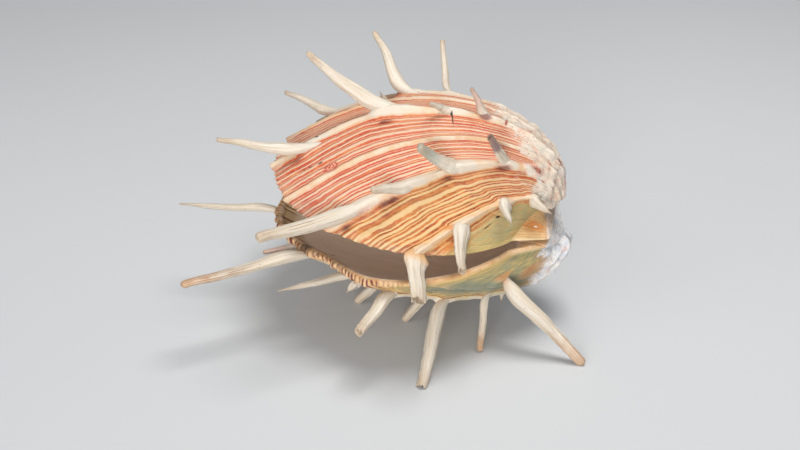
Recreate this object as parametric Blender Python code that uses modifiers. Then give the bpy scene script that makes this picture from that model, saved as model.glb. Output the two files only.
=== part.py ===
"""Thorny oyster shell: two ribbed, spiny valves lying open on their spines.

Lengths below are in millimetres and angles in degrees. The scene is in metres.
In the shell's own frame x runs from the hinge to the ventral margin, y to the
near side and z up. +X of the scene points to the hinge end, -Y to the near side.
"""
import math

import bpy
import numpy as np

MM = 0.001

# Where the hinge line's middle is, above the floor and beside the origin.
HINGE = (53.45, -8.55, 32.7)
YAW = -11.0
ROLL = 3.5
HINGE_GAP = 0.25

# Outline of each valve: an ellipse for the disc, cut off by two ears and the hinge.
UPPER = {
    "length": 87.0,
    "half_width": 40.0,
    "half_hinge": 14.7,
    "centre": 46.0,
    "ear_start": 10.3,
    "skew": -0.09,
    "coil": 1.08,
    "side_coil": 0.0,
    "umbo": (3.5, 2.6),
    "pitch": 6.2,
    "edge": 0.6,
    "rim": 1.8,
    "middle": (38.0, 0.0, 3.0),
    "side": 1.0,
}
LOWER = {
    "length": 85.5,
    "half_width": 43.0,
    "half_hinge": 14.8,
    "centre": 45.2,
    "ear_start": 10.0,
    "skew": -0.02,
    "coil": 1.8,
    "side_coil": -0.3,
    "umbo": (-3.0, 4.0),
    "pitch": -1.7,
    "edge": 1.2,
    "rim": 2.0,
    "middle": (38.0, 0.0, 2.0),
    "side": -1.0,
}

# Major ribs: angle round the disc from the ventral end, near side positive.
UPPER_RIBS = (-118.0, -92.0, -63.0, -35.0, -12.0, 14.5, 41.5, 67.0, 108.0)
LOWER_RIBS = (-116.0, -90.0, -64.0, -38.0, -13.0, 14.0, 43.0, 66.0, 87.0, 112.0)
RIB_HEIGHT = 1.1
RIB_WIDTH = 4.5

COLUMNS_DISC = 28
COLUMNS_EAR = 3
COLUMNS_HINGE = 3
GROWTH_ROWS = (0.02, 0.05, 0.1, 0.16, 0.24, 0.33, 0.43, 0.54, 0.65, 0.76, 0.86, 0.94, 1.0)
CAVITY_ROWS = (1.0, 0.92, 0.74, 0.52, 0.32)
HINGE_PLATE = 9.0

# Spines: rib angle, growth position of the root, tip (x, y, z) from the hinge's middle,
# root half width, tip half width, flatness, length of the root's rise along the rib.
UPPER_SPINES = (
    (4.0, 0.67, (-73.5, 16.5, 46.0), 2.7, 1.0, 0.85, 13.0),
    (-28.0, 0.66, (-54.0, 39.5, 44.5), 2.3, 1.0, 0.85, 10.0),
    (-37.0, 0.55, (-33.0, 34.0, 43.5), 1.1, 0.8, 0.9, 5.0),
    (9.0, 0.40, (-25.5, 3.5, 40.0), 1.4, 0.6, 0.8, 6.0),
    (15.0, 0.48, (-37.5, 1.5, 36.0), 1.1, 0.5, 0.8, 5.0),
    (-35.0, 0.93, (-83.5, 54.0, 18.5), 1.9, 0.9, 0.8, 12.0),
    (17.0, 0.90, (-100.5, 8.5, 21.5), 2.1, 0.8, 0.8, 14.0),
    (69.0, 0.55, (-41.0, -20.0, 32.0), 2.1, 1.4, 0.6, 10.0),
    (65.0, 0.37, (-21.0, -16.0, 33.0), 1.6, 1.1, 0.7, 6.0),
    (71.0, 0.72, (-54.0, -24.0, 20.5), 1.8, 1.2, 0.7, 9.0),
    (68.0, 0.90, (-85.5, -34.0, 10.5), 2.5, 1.7, 0.75, 12.0),
    (103.0, 1.0, (-41.0, -45.0, -3.0), 2.5, 2.2, 0.45, 5.0),
    (109.0, 0.77, (-29.0, -37.5, 2.0), 2.1, 1.2, 0.6, 6.0),
    (109.0, 0.50, (-14.5, -23.5, 9.0), 2.2, 0.8, 0.6, 5.0),
    (111.0, 0.32, (-4.0, -15.5, 10.0), 1.7, 0.8, 0.6, 4.0),
    (-64.0, 0.95, (-46.0, 59.5, 4.5), 1.6, 0.9, 0.75, 6.0),
    (-92.0, 0.88, (-28.0, 54.5, 5.0), 1.6, 0.9, 0.75, 6.0),
)
LOWER_SPINES = (
    (3.0, 0.985, (-115.0, 18.0, -4.5), 1.4, 0.8, 0.8, 7.0),
    (45.0, 0.97, (-108.5, -26.5, -8.5), 2.2, 1.6, 0.8, 8.0),
    (37.0, 0.98, (-86.0, -9.5, -6.5), 1.1, 0.6, 0.8, 4.0),
    (54.0, 0.88, (-81.5, -22.0, -13.0), 1.6, 0.6, 0.8, 8.0),
    (75.0, 0.97, (-60.0, -32.0, -6.5), 1.2, 0.5, 0.8, 3.0),
    (14.0, 0.60, (-60.0, 5.5, -32.6), 1.8, 1.5, 0.85, 6.0),
    (85.0, 0.90, (-57.5, -42.5, -14.5), 2.3, 1.8, 0.75, 7.0),
    (43.0, 0.55, (-45.0, -5.5, -32.6), 1.9, 1.6, 0.85, 6.0),
    (87.0, 0.69, (-40.0, -42.5, -32.6), 2.3, 1.7, 0.85, 7.0),
    (95.0, 0.53, (-22.5, -23.5, -32.6), 1.4, 1.2, 0.9, 5.0),
    (110.0, 0.53, (7.5, -30.5, -32.6), 2.7, 1.6, 0.9, 6.0),
    (-42.0, 0.72, (-66.0, 44.5, -32.6), 2.0, 1.6, 0.85, 7.0),
    (-90.0, 0.60, (-14.0, 46.5, -32.6), 2.0, 1.6, 0.85, 7.0),
    (-64.0, 0.88, (-50.0, 62.5, -14.5), 1.7, 1.0, 0.8, 7.0),
    (-90.0, 0.86, (-26.0, 60.5, -16.5), 1.7, 1.0, 0.8, 6.0),
    (-38.0, 0.92, (-82.0, 50.5, -10.5), 1.4, 0.8, 0.8, 5.0),
    (-114.0, 0.55, (0.0, 36.5, -18.5), 1.7, 0.9, 0.8, 5.0),
)
SPINE_SIDES = 8
SPINE_STEPS = 9
BEND_END = 0.45
BEND_REACH = 0.25

# The dried ligament in its pit in the middle of the hinge.
LIGAMENT_SIZE = (5.0, 8.0, 4.0)
LIGAMENT_CENTRE = (4.0, 0.0, 0.0)
PIT_CLEARANCE = 0.3


def rotation(axis, degrees):
    c = math.cos(math.radians(degrees))
    s = math.sin(math.radians(degrees))
    if axis == "x":
        return np.array([[1, 0, 0], [0, c, -s], [0, s, c]])
    if axis == "y":
        return np.array([[c, 0, s], [0, 1, 0], [-s, 0, c]])
    return np.array([[c, -s, 0], [s, c, 0], [0, 0, 1]])


def to_scene(points, pitch):
    """Shell frame to the scene's directions, in millimetres."""
    turn = rotation("z", YAW) @ rotation("x", ROLL) @ rotation("y", pitch)
    return (points * np.array([-1.0, -1.0, 1.0])) @ turn.T + np.array(HINGE)


def outline(theta, valve):
    """The margin in the plane where the valves meet."""
    c = valve["centre"]
    a = valve["length"] - c
    b = valve["half_width"]
    h = valve["half_hinge"]
    xe = valve["ear_start"]
    start = math.acos((xe - c) / a)
    ye = b * math.sin(start)
    t = np.abs(theta)
    x = c + a * np.cos(t)
    y = b * np.sin(t)
    edge = math.hypot(xe, ye - h)
    cut = edge / (edge + h)
    f = np.clip((t - start) / (math.pi - start), 0.0, 1.0)
    f1 = np.clip(f / cut, 0.0, 1.0)
    f2 = np.clip((f - cut) / (1.0 - cut), 0.0, 1.0)
    x = np.where(t > start, xe * (1.0 - f1), x)
    y = np.where(t > start, (ye + (h - ye) * f1) * (1.0 - f2), y)
    return x, np.sign(theta) * y + valve["skew"] * x


def grown(theta, s, valve):
    """Point of the outer surface: the margin shrunk by s and coiled up to the umbo."""
    x, y = outline(theta, valve)
    s = np.maximum(s, 1e-4)
    coil = valve["coil"] * (1.0 + valve["side_coil"] * np.sin(theta) ** 2)
    turn = np.minimum(-np.log(s) / coil, 2.4)
    ux, uz = valve["umbo"]
    px = (1.0 - s) * ux + s * x * np.cos(turn)
    pz = (1.0 - s) * uz + s * x * np.sin(turn) + valve["edge"]
    return np.stack([px, s * y, pz], axis=-1)


def outward(theta, s, valve):
    e = 1e-3
    across = grown(theta + e, s, valve) - grown(theta - e, s, valve)
    along = grown(theta, s + e, valve) - grown(theta, s - e, valve)
    n = np.cross(along, across)
    n = n / np.maximum(np.linalg.norm(n, axis=-1, keepdims=True), 1e-9)
    return n


def rib_profile(theta, ribs):
    out = np.zeros_like(theta)
    for rib in ribs:
        d = (np.degrees(theta) - rib) / RIB_WIDTH
        out = np.maximum(out, np.exp(-d * d))
    return out


def outer_point(theta, s, valve, ribs):
    raised = RIB_HEIGHT * rib_profile(theta, ribs) * np.clip(s * 2.2, 0.0, 1.0)
    return grown(theta, s, valve) + raised[..., None] * outward(theta, s, valve)


def inner_point(theta, s, valve):
    """The cavity's wall: the outer surface set in towards the middle of the valve."""
    p = grown(theta, s, valve)
    middle = np.array(valve["middle"])
    away = p - middle
    reach = np.linalg.norm(away, axis=-1, keepdims=True)
    wall = valve["rim"] + 2.0 * (1.0 - s)
    p = middle + away * (1.0 - wall[..., None] / reach)
    p[..., 0] = np.maximum(p[..., 0], HINGE_PLATE)
    return p


def column_angles():
    start = 150.4
    corner = 163.3
    half = list(np.linspace(0.0, start, COLUMNS_DISC + 1))
    half += list(np.linspace(start, corner, COLUMNS_EAR + 1))[1:]
    half += list(np.linspace(corner, 180.0, COLUMNS_HINGE + 1))[1:]
    full = [-a for a in half[-2:0:-1]] + half
    return np.radians(np.array(full))


def flip_if_inside_out(obj):
    mesh = obj.data
    volume = 0.0
    for face in mesh.polygons:
        a = mesh.vertices[face.vertices[0]].co
        for i in range(1, len(face.vertices) - 1):
            b = mesh.vertices[face.vertices[i]].co
            c = mesh.vertices[face.vertices[i + 1]].co
            volume += a.dot(b.cross(c))
    if volume < 0.0:
        mesh.flip_normals()


def ball(name, columns, rings):
    """A ball whose vertices know their column and ring; the caller moves them."""
    bpy.ops.mesh.primitive_uv_sphere_add(segments=columns, ring_count=rings, radius=1.0)
    obj = bpy.context.object
    obj.name = name
    obj.data.name = name
    co = np.empty(len(obj.data.vertices) * 3)
    obj.data.vertices.foreach_get("co", co)
    co = co.reshape(-1, 3)
    column = np.round(np.arctan2(co[:, 1], co[:, 0]) / (2 * math.pi) * columns)
    column = column.astype(int) % columns
    ring = np.round(np.arccos(np.clip(co[:, 2], -1, 1)) / math.pi * rings).astype(int)
    return obj, column, ring


def put(obj, points):
    obj.data.vertices.foreach_set("co", (points * MM).ravel())
    obj.data.update()
    flip_if_inside_out(obj)
    for face in obj.data.polygons:
        face.use_smooth = True


def valve_body(name, valve, ribs):
    angles = column_angles()
    rows = list(GROWTH_ROWS)
    rings = len(rows) + 1 + len(CAVITY_ROWS) + 1
    obj, column, ring = ball(name, len(angles), rings)
    theta = angles[column]
    points = np.zeros((len(theta), 3))
    for j in range(rings + 1):
        here = ring == j
        t = theta[here]
        if j == 0:
            points[here] = grown(np.zeros(1), np.full(1, 1e-4), valve)
        elif j <= len(rows):
            points[here] = outer_point(t, np.full(len(t), rows[j - 1]), valve, ribs)
        elif j == len(rows) + 1:
            margin = outer_point(t, np.ones(len(t)), valve, ribs)
            margin[:, 2] = 0.0
            points[here] = margin
        elif j < rings:
            s = CAVITY_ROWS[j - len(rows) - 2]
            wall = inner_point(t, np.full(len(t), s), valve)
            if s == 1.0:
                wall[:, 2] = 0.0
            points[here] = wall
        else:
            points[here] = points[ring == j - 1].mean(axis=0)
    points[:, 2] = valve["side"] * (points[:, 2] + HINGE_GAP)
    put(obj, to_scene(points, valve["pitch"]))
    return obj


def surface_point(rib, s, valve, ribs, lift):
    theta = np.radians(np.array([rib]))
    at = np.array([s])
    p = grown(theta, at, valve)
    n = outward(theta, at, valve)
    p = p + lift * n
    p[:, 2] = valve["side"] * (p[:, 2] + HINGE_GAP)
    n[:, 2] = valve["side"] * n[:, 2]
    turn = to_scene(n, valve["pitch"]) - np.array(HINGE)
    return to_scene(p, valve["pitch"])[0], turn[0]


def spine(name, valve, ribs, rib, s, tip, root, end, flat, rise):
    """A tapering, slightly flattened spine that leaves its rib along the rib's own line."""
    obj, column, ring = ball(name, SPINE_SIDES, SPINE_STEPS)
    back = max(s - rise / valve["length"], 0.06)
    start, _ = surface_point(rib, back, valve, ribs, -0.6 * root)
    foot, normal = surface_point(rib, s, valve, ribs, 0.5 * root)
    tip = np.array(tip) + np.array(HINGE)
    leave = foot + BEND_REACH * (tip - foot)
    phase = 2 * math.pi * column / SPINE_SIDES
    points = np.zeros((len(ring), 3))
    for j in range(SPINE_STEPS + 1):
        here = ring == j
        t = min(max((j - 1.0) / (SPINE_STEPS - 2.0), 0.0), 1.0)
        if t < BEND_END:
            q = t / BEND_END
            centre = (1 - q) ** 2 * start + 2 * q * (1 - q) * foot + q * q * leave
            along = (1 - q) * (foot - start) + q * (leave - foot)
        else:
            q = (t - BEND_END) / (1.0 - BEND_END)
            centre = leave + q * (tip - leave)
            along = tip - leave
        along = along / np.linalg.norm(along)
        side = np.cross(along, normal)
        side = side / np.linalg.norm(side)
        up = np.cross(side, along)
        if t < BEND_END:
            radius = root * (0.7 + 0.3 * t / BEND_END)
        else:
            radius = root + (end - root) * (t - BEND_END) / (1.0 - BEND_END)
        if j in (0, SPINE_STEPS):
            radius = 0.0
        if j == SPINE_STEPS - 1:
            radius = radius * 0.85
        a = phase[here]
        points[here] = (
            centre
            + radius * np.cos(a)[:, None] * side
            + radius * flat * np.sin(a)[:, None] * up
        )
    points[ring == SPINE_STEPS] = tip + 0.35 * end * (tip - foot) / np.linalg.norm(tip - foot)
    put(obj, points)
    return obj


def box(name, size, centre, pitch):
    bpy.ops.mesh.primitive_cube_add(size=1.0)
    obj = bpy.context.object
    obj.name = name
    co = np.empty(24)
    obj.data.vertices.foreach_get("co", co)
    points = co.reshape(-1, 3) * np.array(size) + np.array(centre)
    obj.data.vertices.foreach_set("co", (to_scene(points, pitch) * MM).ravel())
    obj.data.update()
    flip_if_inside_out(obj)
    return obj


def material(name, colour, roughness):
    mat = bpy.data.materials.new(name)
    mat.use_nodes = True
    shader = mat.node_tree.nodes["Principled BSDF"]
    shader.inputs["Base Color"].default_value = (*colour, 1.0)
    shader.inputs["Roughness"].default_value = roughness
    return mat


def move_to(obj, collection):
    for old in list(obj.users_collection):
        old.objects.unlink(obj)
    collection.objects.link(obj)


def helper(obj, cutters):
    move_to(obj, cutters)
    obj.hide_render = True
    obj.display_type = "WIRE"


def combine(target, operand, operation):
    modifier = target.modifiers.new(operand.name, "BOOLEAN")
    modifier.operation = operation
    modifier.solver = "EXACT"
    modifier.object = operand


for old in list(bpy.data.objects):
    bpy.data.objects.remove(old, do_unlink=True)

shell = bpy.data.collections.new("thorny_oyster_shell")
cutters = bpy.data.collections.new("cutters")
cutters.hide_render = True
bpy.context.scene.collection.children.link(shell)
bpy.context.scene.collection.children.link(cutters)

valves = {}
for name, valve, ribs, spines in (
    ("upper_valve", UPPER, UPPER_RIBS, UPPER_SPINES),
    ("lower_valve", LOWER, LOWER_RIBS, LOWER_SPINES),
):
    body = valve_body(name, valve, ribs)
    move_to(body, shell)
    for number, values in enumerate(spines):
        thorn = spine(name + "_spine_" + str(number + 1), valve, ribs, *values)
        combine(body, thorn, "UNION")
        helper(thorn, cutters)
    valves[name] = body

middle_pitch = 0.5 * (UPPER["pitch"] + LOWER["pitch"])
pit_size = [v + 2 * PIT_CLEARANCE for v in LIGAMENT_SIZE]
pit = box("ligament_pit", pit_size, LIGAMENT_CENTRE, middle_pitch)
helper(pit, cutters)
for body in valves.values():
    combine(body, pit, "DIFFERENCE")

ligament = box("ligament", LIGAMENT_SIZE, LIGAMENT_CENTRE, middle_pitch)
move_to(ligament, shell)
round_off = ligament.modifiers.new("round", "BEVEL")
round_off.width = 0.6 * MM
round_off.segments = 2

# The spines that carry the shell are worn flat where they meet the floor.
bpy.ops.mesh.primitive_cube_add(size=0.4, location=(0.0, 0.0, -0.2))
floor_cutter = bpy.context.object
floor_cutter.name = "floor_cutter"
helper(floor_cutter, cutters)
combine(valves["lower_valve"], floor_cutter, "DIFFERENCE")

valves["upper_valve"].data.materials.append(material("upper_shell", (0.72, 0.42, 0.32), 0.5))
valves["lower_valve"].data.materials.append(material("lower_shell", (0.68, 0.5, 0.33), 0.5))
ligament.data.materials.append(material("ligament_dark", (0.05, 0.035, 0.025), 0.7))
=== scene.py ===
import math

import bpy
import numpy as np
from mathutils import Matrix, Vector, noise


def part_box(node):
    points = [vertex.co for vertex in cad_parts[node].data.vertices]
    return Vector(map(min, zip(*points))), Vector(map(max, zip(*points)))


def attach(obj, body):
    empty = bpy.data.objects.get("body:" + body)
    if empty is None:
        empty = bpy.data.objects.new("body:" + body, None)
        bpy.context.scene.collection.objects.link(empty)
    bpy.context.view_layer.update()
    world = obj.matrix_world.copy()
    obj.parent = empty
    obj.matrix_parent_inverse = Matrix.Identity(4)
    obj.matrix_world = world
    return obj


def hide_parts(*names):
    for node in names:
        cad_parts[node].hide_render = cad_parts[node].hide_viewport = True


# Thorny oyster shell: the fine surface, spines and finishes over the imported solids.
# Lengths are in millimetres and angles in degrees unless a name says otherwise.

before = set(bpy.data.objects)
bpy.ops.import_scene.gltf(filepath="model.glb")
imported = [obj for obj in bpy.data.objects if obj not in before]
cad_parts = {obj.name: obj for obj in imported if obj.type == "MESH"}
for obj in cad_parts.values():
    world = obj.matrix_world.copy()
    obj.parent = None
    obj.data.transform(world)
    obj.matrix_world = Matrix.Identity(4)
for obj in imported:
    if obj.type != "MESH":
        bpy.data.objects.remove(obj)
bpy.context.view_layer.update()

MM = 0.001
SEED = 41

# Where the hinge line's middle is, and how the shell lies.
HINGE = np.array([53.45, -8.55, 32.7])
YAW = -11.0
ROLL = 3.5
HINGE_GAP = 0.25

UPPER = dict(
    node="upper_valve", length=87.0, half_width=40.0, half_hinge=14.7, centre=46.0, ear_start=10.3,
    skew=-0.09, coil=1.08, side_coil=0.0, umbo=(3.5, 2.6), pitch=6.2, edge=0.6, rim=1.8,
    middle=(38.0, 0.0, 3.0), side=1.0, cord_fall=0.0, pinch=(0.0, 0.0, 1.0), seed=SEED,
)
LOWER = dict(
    node="lower_valve", length=85.5, half_width=43.0, half_hinge=14.8, centre=45.2, ear_start=10.0,
    skew=-0.02, coil=1.8, side_coil=-0.3, umbo=(-3.0, 4.0), pitch=-1.7, edge=1.2, rim=2.0,
    middle=(38.0, 0.0, 2.0), side=-1.0, cord_fall=0.65, pinch=(0.08, 55.0, 24.0), seed=SEED + 100,
)
HINGE_PLATE = 9.0

# The cords, which carry the spines: relative width, and the angle at each growth position.
COURSE_AT = (0.25, 0.5, 0.67, 0.9, 1)
UPPER_CORDS = (
    (0.9, (-118, -118, -118, -118, -118)),
    (0.9, (-92, -92, -91, -92, -92)),
    (0.8, (-63, -62, -64, -64, -63)),
    (1, (-36, -37, -30, -35, -35)),
    (0.65, (-12, -13, -14, -11, -12)),
    (1.1, (12, 12, 6.5, 15.5, 14.5)),
    (0.75, (41.5, 41, 41, 42, 41.5)),
    (1.25, (66, 68, 70, 68, 67)),
    (0.95, (110, 109, 109, 106.5, 104)),
)
LOWER_CORDS = (
    (0.8, (-116, -114, -115, -116, -116)),
    (0.9, (-90, -90, -90, -90, -90)),
    (0.8, (-64, -64, -64, -64, -64)),
    (0.9, (-40, -41, -42, -38, -38)),
    (0.7, (-13, -13, -13, -13, -13)),
    (0.9, (14, 14, 14, 10, 8)),
    (0.9, (43, 43, 43, 46, 46)),
    (0.7, (66, 66, 65, 60, 60)),
    (0.9, (90, 90, 87, 85, 83)),
    (0.9, (111, 110, 110, 112, 112)),
)
RIBLETS = 5
SIDE_RIBLETS = 14
CORD_HEIGHT = 1.0
CORD_HALF_WIDTH = (0.4, 0.85)
CORD_REACH = 8.0
BUTTRESS = 0.5
MM_PER_DEGREE = 0.71
GROWTH_STRETCH = 1.27
RIB_LENGTH = 110.0
# How far round the shell coils at its umbo, in radians.
LAST_TURN = 2.4
# How much the shell shines.
SPECULAR = 0.35
# Depth of the materials' relief in metres.
SHELL_BUMP = 0.00022
SPINE_BUMP = 0.0003
# Growth halts: growth position and depth.
HALTS = ((0.38, 0.16), (0.61, 0.2), (0.79, 0.16), (0.925, 0.24))
HALT_WIDTH = 0.006
# The angles between which the ribbed disc passes into the ears.
DISC_END = (138.0, 150.0)
# The height of the margin's inner edge over the plane between the valves.
MARGIN_HEIGHT = 0.25
# How much thicker the wall gets from the margin to the umbo.
UMBO_WALL = 2.0

# Spines: rib angle, growth position of the root, tip (x, y, z) from the hinge's middle,
# root half width, tip half width, flatness, length of the root's rise, bow, end, tint.
UPPER_SPINES = (
    (4, 0.67, (-73.5, 16.5, 46), 2.7, 1, 0.9, 13, -0.7, "round", "cream"),
    (-28, 0.66, (-54, 39.5, 44.5), 2.3, 0.9, 0.9, 10, 0.6, "round", "cream"),
    (-37, 0.55, (-33, 34, 43.5), 1.2, 0.8, 0.9, 5, 0.1, "broken", "cream"),
    (9, 0.4, (-25.5, 3.5, 40), 1.5, 0.6, 0.85, 6, 0.3, "round", "pink"),
    (10.5, 0.485, (-37.5, 1.5, 36), 1.5, 0.7, 0.85, 6, 0.15, "round", "dim"),
    (-35, 0.93, (-83.5, 54, 18.5), 1.9, 0.8, 0.85, 12, 0.3, "ragged", "cream"),
    (17, 0.9, (-100.5, 8.5, 21.5), 2.1, 0.7, 0.85, 14, -0.3, "ragged", "cream"),
    (69, 0.55, (-41, -20, 32), 2.1, 1.4, 0.75, 10, -0.6, "round", "glass"),
    (65, 0.37, (-21, -16, 33), 1.6, 1.1, 0.8, 6, 0.2, "broken", "purple"),
    (71, 0.72, (-54, -24, 20.5), 1.8, 1.2, 0.8, 9, 0, "round", "cream"),
    (68, 0.9, (-85.5, -34, 10.5), 2.5, 1.5, 0.85, 12, -0.5, "round", "cream"),
    (104, 1, (-41, -45, -3), 2.5, 2.2, 0.5, 8, 0.2, "broken", "web"),
    (109, 0.77, (-29, -37.5, 2), 2.3, 1.3, 0.65, 10, -0.2, "broken", "cream"),
    (109, 0.5, (-14.5, -23.5, 9), 2.3, 0.6, 0.65, 5, 0, "point", "cream"),
    (111, 0.33, (-2.7, -17, 9.5), 1.7, 0.5, 0.65, 5, 0, "point", "cream"),
    (-64, 0.95, (-46, 59.5, 4.5), 1.6, 0.9, 0.8, 6, 0.4, "round", "cream"),
    (-92, 0.88, (-28, 54.5, 5), 1.6, 0.9, 0.8, 6, 0.4, "broken", "cream"),
)
LOWER_SPINES = (
    (3, 0.985, (-115, 18, -4.5), 1.4, 0.8, 0.85, 7, 0.3, "point", "cream"),
    (39, 0.975, (-108.5, -26.5, -8.5), 2.3, 1.5, 0.75, 8, 0.3, "round", "rust"),
    (33, 0.97, (-86.5, -9.7, -6.9), 1.2, 0.8, 0.8, 4, 0, "round", "pink"),
    (54, 0.88, (-81.5, -22, -13), 1.6, 0.6, 0.85, 8, 0.2, "point", "cream"),
    (75, 0.97, (-61, -32.8, -7.3), 1.6, 0.5, 0.8, 3, 0, "point", "cream"),
    (14, 0.6, (-60, 5.5, -32.6), 1.8, 1.5, 0.85, 6, 0, "round", "cream"),
    (85, 0.9, (-57.5, -42.5, -14.5), 2.2, 1.6, 0.8, 7, 0.2, "broken", "cream"),
    (43, 0.55, (-45, -5.5, -32.6), 1.9, 1.6, 0.85, 6, 0, "round", "cream"),
    (87, 0.69, (-40, -42.5, -32.6), 2.3, 1.6, 0.9, 7, 0.3, "broken", "cream"),
    (95, 0.53, (-22.5, -23.5, -32.6), 1.4, 1.1, 0.9, 5, 0.2, "round", "rust"),
    (118.5, 0.6, (7.3, -30.5, -32.6), 2.5, 1.45, 0.9, 6, 0.5, "round", "streaked"),
    (-42, 0.72, (-66, 44.5, -32.6), 2, 1.6, 0.85, 7, 0, "round", "cream"),
    (-90, 0.6, (-14, 46.5, -32.6), 2, 1.6, 0.85, 7, 0, "round", "cream"),
    (-64, 0.88, (-50, 62.5, -14.5), 1.7, 1, 0.85, 7, 0.4, "round", "cream"),
    (-90, 0.86, (-26, 60.5, -16.5), 1.7, 1, 0.85, 6, 0.3, "broken", "cream"),
    (-38, 0.92, (-82, 50.5, -10.5), 1.4, 0.8, 0.85, 5, 0.2, "point", "cream"),
    (-114, 0.55, (0, 36.5, -18.5), 1.7, 0.9, 0.85, 5, 0, "point", "cream"),
)
# A spine runs along its cord before it bends up and leaves it.
BEND_END = 0.45
BEND_REACH = 0.25
START_DEPTH = 0.5
FOOT_LIFT = 0.22
DOME_HEIGHT = 0.8
RAGGED = ("ragged", "broken")

# Short thorns along the cords: rib angle, growth position, height, lean, root half width, tint.
UPPER_THORNS = (
    (12, 0.343, 1.8, 0.3, 0.8, "red"),
    (63.5, 0.247, 1.2, 0.5, 0.8, "red"),
    (-22, 0.7, 2.4, 1.4, 0.7, "cream"),
    (-36, 0.78, 2, 1.8, 0.8, "cream"),
    (-63, 0.58, 2.6, 1.5, 0.9, "cream"),
    (-63, 0.76, 2.2, 1.6, 0.9, "cream"),
    (-91, 0.56, 2.4, 1.5, 0.9, "cream"),
    (-91, 0.72, 1.8, 1.4, 0.8, "cream"),
)
LOWER_THORNS = (
    (74.5, 0.39, 2.4, 0.6, 0.9, "rust"),
    (-64, 0.62, 2.2, 1.2, 0.9, "cream"),
    (14, 0.8, 1.8, 1.4, 0.8, "cream"),
    (-13, 0.74, 2, 1.2, 0.8, "cream"),
)

# Grids of the skins and of the spines.
DISC_COLUMNS = 270
EAR_COLUMNS = 12
HINGE_COLUMNS = 10
EAR_ANGLE = 150.4
CORNER_ANGLE = 163.3
OUTER_ROWS = 132
RIM_ROWS = 6
INNER_ROWS = 26
SPINE_SIDES = 28
SPINE_RINGS = 66
DOME_RINGS = 6

# Marks: rib angle, growth position, half sizes across and along the rib, strength.
# Dark red-brown marks, most of them at the roots of the spines.
UPPER_DARK_MARKS = (
    (17, 0.66, 1.6, 3.4, 0.9),
    (21, 0.918, 1.6, 3, 0.8),
    (12.8, 0.398, 1.2, 1.8, 1.5),
    (71.5, 0.385, 1.1, 3, 1),
    (62.5, 0.25, 1.4, 2.2, 0.9),
    (74.5, 0.59, 1.2, 3.4, 0.9),
    (73.5, 0.8, 1.3, 4.6, 1),
    (71.5, 0.89, 1.3, 5, 0.6),
    (72, 0.965, 1.5, 2.6, 0.9),
    (114, 0.88, 1.2, 1.6, 0.9),
    (121, 0.62, 1.1, 1, 0.8),
    (-24, 0.68, 1.4, 3, 0.8),
    (34, 0.197, 0.7, 1, 0.7),
    (-4, 0.165, 0.8, 1.3, 0.8),
    (75.5, 0.175, 0.6, 0.9, 0.7),
    (20, 0.12, 0.7, 1, 0.7),
)
LOWER_DARK_MARKS = (
    (42, 0.985, 2.6, 2.4, 1.6),
    (62, 0.96, 2.4, 2.6, 0.6),
    (84, 0.94, 2.6, 2.6, 0.7),
    (82, 0.66, 2.4, 4, 0.6),
    (96, 0.52, 2, 3, 0.5),
)
UPPER_SCARS = ((38, 0.845, 2.3, 2.6, 1),)
UPPER_PATCHES = ((156, 0.7, 3.4, 3, 0.9), (116, 0.94, 3.6, 4.5, 0.7), (106, 0.8, 1.8, 2.2, 0.8))
LOWER_PATCHES = ((119, 0.38, 3.4, 4.5, 1), (123, 0.62, 2.4, 2.6, 1))

# Small marks drawn by the material, in the same way; the last value is the colour's name.
UPPER_SPECKS = (
    (122.5, 0.733, 0.26, 1.7, "speck"),
    (19.5, 0.482, 2.2, 0.22, "speck"),
    (15.4, 0.484, 0.5, 0.4, "speck"),
    (14, 0.848, 0.3, 0.6, "speck"),
    (30.5, 0.893, 0.3, 0.7, "speck"),
    (31.5, 0.863, 0.35, 0.9, "speck"),
    (30, 0.913, 0.25, 0.4, "speck"),
    (121, 0.625, 0.6, 0.7, "speck"),
    (157, 0.715, 0.5, 0.45, "pearl"),
    (121.5, 0.905, 0.3, 0.8, "speck"),
)
LOWER_SPECKS = (
    (96, 0.8, 0.4, 1.8, "speck"),
    (104, 0.7, 0.3, 1.4, "speck"),
)


def srgb(r, g, b):
    """A colour given as it looks on a screen, 0 to 255, as the shader's linear values."""
    out = []
    for value in (r, g, b):
        v = value / 255.0
        out.append(v / 12.92 if v <= 0.04045 else ((v + 0.055) / 1.055) ** 2.4)
    return (*out, 1.0)


def smooth(x, low, high):
    t = np.clip((x - low) / (high - low), 0.0, 1.0)
    return t * t * (3.0 - 2.0 * t)


NOISE_CELLS = 64


def bell(x, width):
    return np.exp(-((x / width) ** 2))


def wander(u, v, seed, wrap=NOISE_CELLS):
    """Smooth noise between -1 and 1. u and v count its cells, and u repeats after wrap."""
    table = np.random.default_rng(seed).uniform(-1.0, 1.0, (NOISE_CELLS, NOISE_CELLS))
    i = np.floor(u).astype(int)
    j = np.floor(v).astype(int)
    fu = smooth(u - i, 0.0, 1.0)
    fv = smooth(v - j, 0.0, 1.0)
    a = table[i % wrap, j % NOISE_CELLS]
    b = table[(i + 1) % wrap, j % NOISE_CELLS]
    c = table[i % wrap, (j + 1) % NOISE_CELLS]
    d = table[(i + 1) % wrap, (j + 1) % NOISE_CELLS]
    return (a * (1 - fu) + b * fu) * (1 - fv) + (c * (1 - fu) + d * fu) * fv


def lumps(points, size, shift):
    """Noise in space between about -1 and 1, with features of this size."""
    flat = points.reshape(-1, 3) / size + shift
    values = [noise.noise(Vector(p)) for p in flat]
    return np.array(values).reshape(points.shape[:-1])


def rotation(axis, degrees):
    c = math.cos(math.radians(degrees))
    s = math.sin(math.radians(degrees))
    if axis == "x":
        return np.array([[1, 0, 0], [0, c, -s], [0, s, c]])
    if axis == "y":
        return np.array([[c, 0, s], [0, 1, 0], [-s, 0, c]])
    return np.array([[c, -s, 0], [s, c, 0], [0, 0, 1]])


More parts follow.
